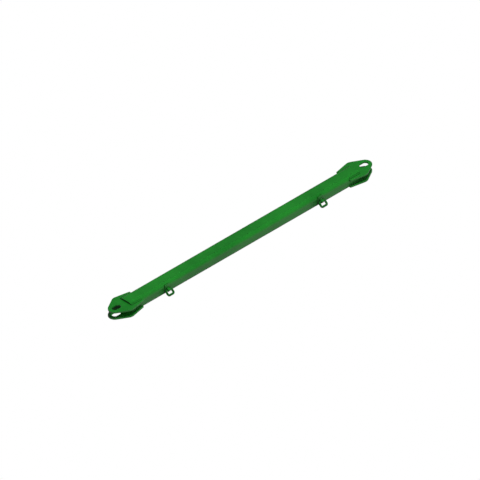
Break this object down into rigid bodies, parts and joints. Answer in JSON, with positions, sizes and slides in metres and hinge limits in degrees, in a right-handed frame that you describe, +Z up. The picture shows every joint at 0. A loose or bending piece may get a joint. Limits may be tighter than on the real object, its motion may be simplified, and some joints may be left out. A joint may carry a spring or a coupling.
{
  "type": "spreader beam",
  "caption": "Straight hollow-section spreader beam with slotted lug plates at the ends and swinging load rings on one side.",
  "frame": {"origin": "middle of the beam, half-way between the two sling slots, at the middle of the tube's height and width", "axes": "+X along the beam, +Z up and square to the lug plates, load rings on the -Y side"},
  "size_m": [2.209, 0.177, 0.08],
  "materials": {
    "beam_paint": "satin green coat on steel",
    "weld_paint": "satin green coat over weld beads",
    "ring_paint": "satin green coat on forged bar"
  },
  "bodies": {
    "beam": {"main_tube": "beam_paint", "left_upper_lug": "beam_paint", "left_lower_lug": "beam_paint", "right_upper_lug": "beam_paint", "right_lower_lug": "beam_paint", "left_upper_lug_welds": "weld_paint", "left_lower_lug_welds": "weld_paint", "right_upper_lug_welds": "weld_paint", "right_lower_lug_welds": "weld_paint", "left_end_strip": "beam_paint", "right_end_strip": "beam_paint", "left_ring_pad": "beam_paint", "right_ring_pad": "beam_paint", "left_pad_welds": "weld_paint", "right_pad_welds": "weld_paint", "left_ring_clip": "beam_paint", "right_ring_clip": "beam_paint", "left_clip_welds": "weld_paint", "right_clip_welds": "weld_paint"},
    "left_ring": {"left_ring": "ring_paint"},
    "right_ring": {"right_ring": "ring_paint"}
  },
  "joints": [
    {"name": "left_ring_swing", "type": "hinge", "parent": "beam", "child": "left_ring", "pos_m": [-0.67, -0.0635, 0], "axis": [-1, 0, 0], "range_deg": [-48, 132]},
    {"name": "right_ring_swing", "type": "hinge", "parent": "beam", "child": "right_ring", "pos_m": [0.63, -0.0635, 0], "axis": [-1, 0, 0], "range_deg": [-48, 132]}
  ]
}
